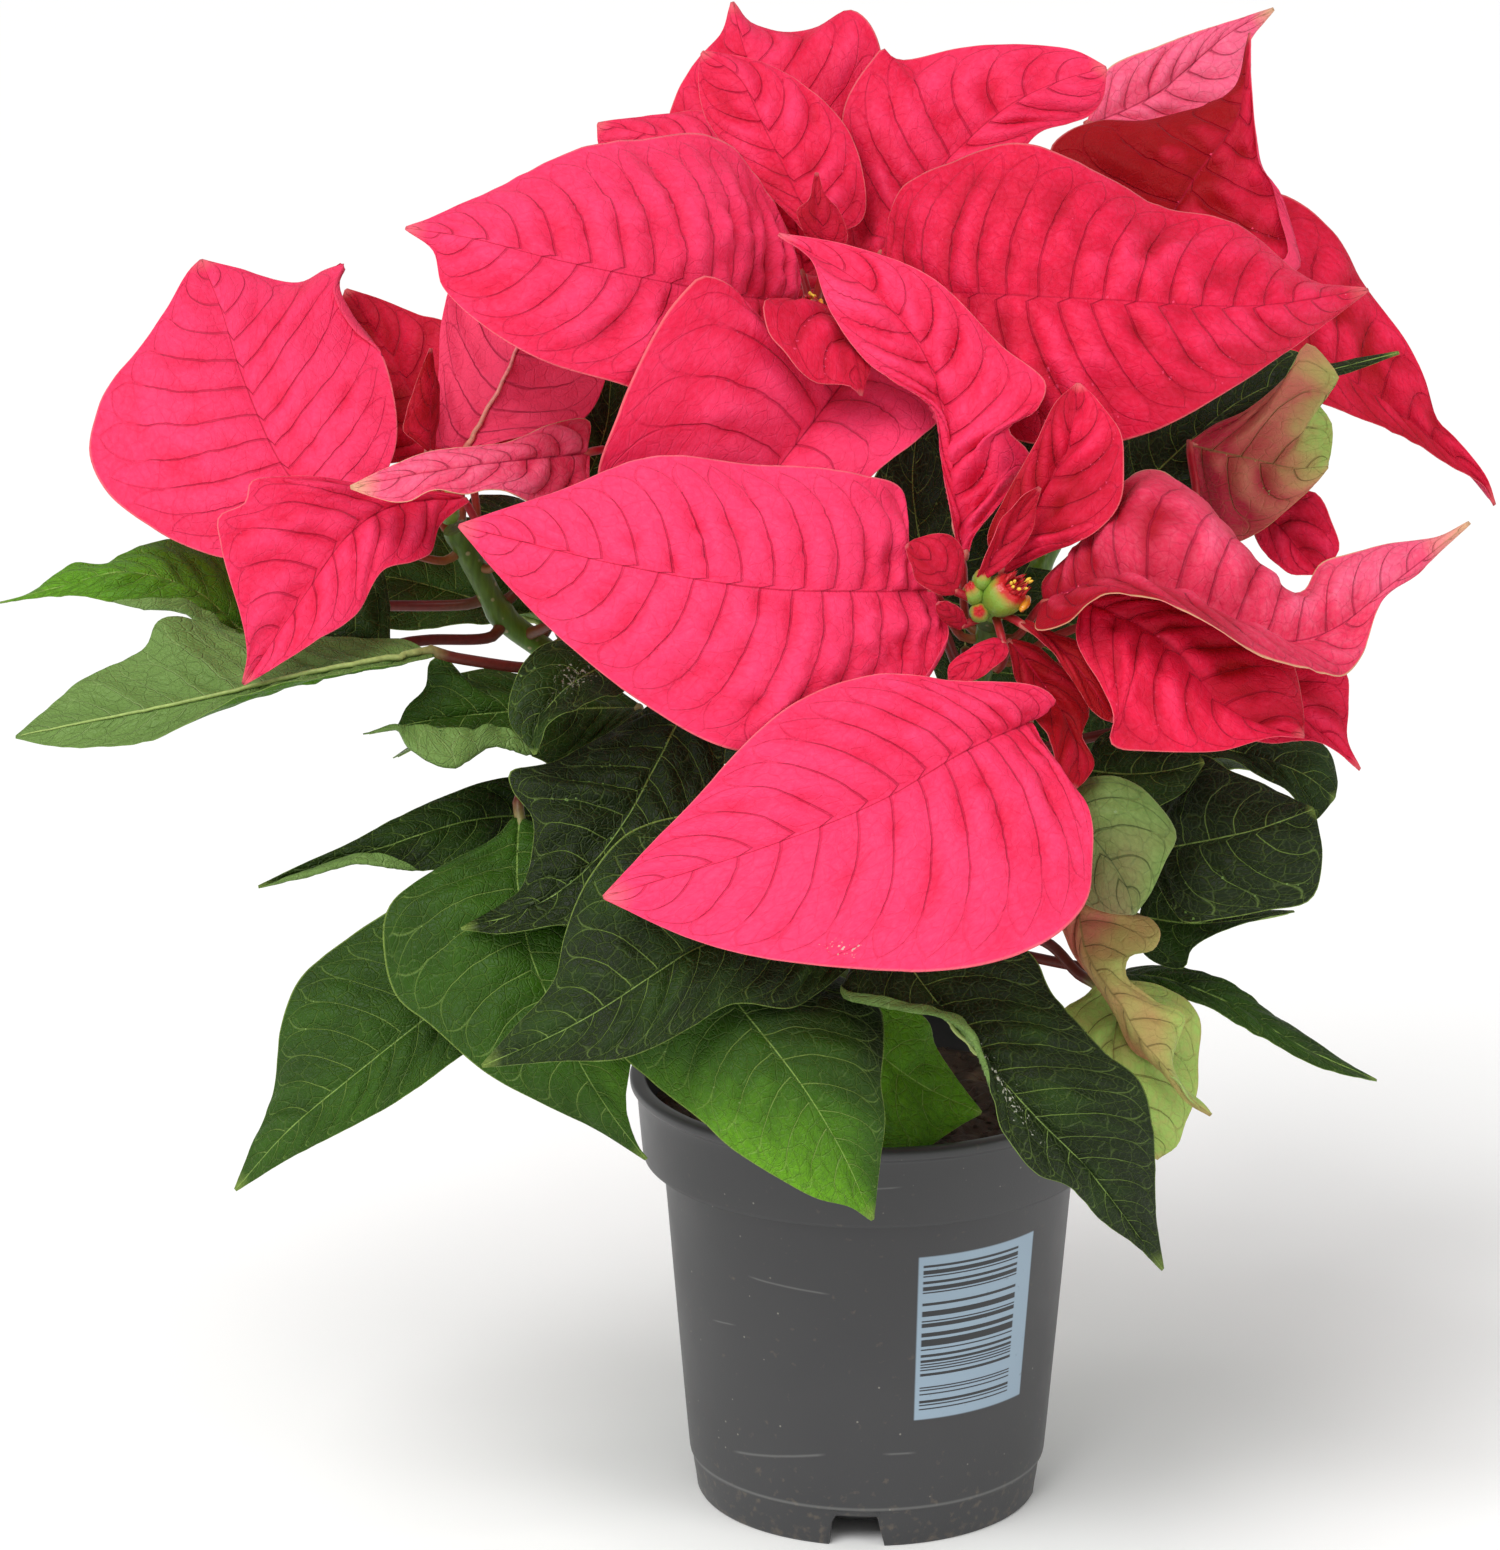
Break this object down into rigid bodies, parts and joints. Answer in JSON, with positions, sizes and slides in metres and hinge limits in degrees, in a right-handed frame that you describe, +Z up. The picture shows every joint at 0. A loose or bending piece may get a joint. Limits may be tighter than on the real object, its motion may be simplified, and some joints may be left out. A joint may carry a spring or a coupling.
{
  "type": "potted poinsettia",
  "caption": "Potted poinsettia: coral red bract rosettes round small green-yellow flower heads, dark green leaves on long stalks, one forked woody stem, peat and a tapered charcoal nursery pot.",
  "frame": {"origin": "the middle of the flat boss under the pot, on the ground and on the axis of the pot", "axes": "+Z up along the axis of the pot; -Y is the front of the plant; +X is to the right of someone who faces the front"},
  "size_m": [0.4028, 0.2768, 0.4033],
  "materials": {
    "pot": "matt charcoal moulded plastic with a fine grain",
    "peat": "moist dark peat with short fibres",
    "stem": "green bark, fused stalks included",
    "cyathia": "waxy green cups with yellow glands",
    "bract": "soft satin coral red with darker veins",
    "leaf": "satin dark green with pale veins"
  },
  "bodies": {
    "root": {"pot": "pot", "soil": "peat", "stems": "stem", "left_cyathia": "cyathia", "top_cyathia": "cyathia", "front_cyathia": "cyathia", "right_cyathia": "cyathia", "left_bract_1": "bract", "left_bract_2": "bract", "left_bract_3": "bract", "left_bract_4": "bract", "left_bract_5": "bract", "top_bract_1": "bract", "top_bract_2": "bract", "top_bract_3": "bract", "top_bract_4": "bract", "top_bract_5": "bract", "top_bract_6": "bract", "top_bract_7": "bract", "top_bract_8": "bract", "front_bract_1": "bract", "front_bract_2": "bract", "front_bract_3": "bract", "front_bract_4": "bract", "front_bract_5": "bract", "front_bract_6": "bract", "front_bract_7": "bract", "front_bract_8": "bract", "right_bract_1": "bract", "right_bract_2": "bract", "right_bract_3": "bract", "right_bract_4": "bract", "right_bract_5": "bract", "leaf_01": "leaf", "leaf_02": "leaf", "leaf_04": "leaf", "leaf_05": "leaf", "leaf_06": "leaf", "leaf_07": "leaf", "leaf_08": "leaf", "leaf_09": "leaf", "leaf_10": "leaf", "leaf_11": "leaf", "leaf_12": "leaf", "leaf_13": "leaf", "leaf_14": "leaf", "leaf_15": "leaf", "leaf_16": "leaf", "leaf_17": "leaf", "leaf_18": "leaf", "leaf_19": "leaf", "leaf_03": "leaf", "left_bract_6": "bract", "top_bract_9": "bract", "right_bract_6": "bract", "right_bract_7": "bract", "leaf_20": "leaf", "leaf_21": "leaf", "leaf_22": "leaf", "leaf_23": "leaf"}
  },
  "joints": []
}
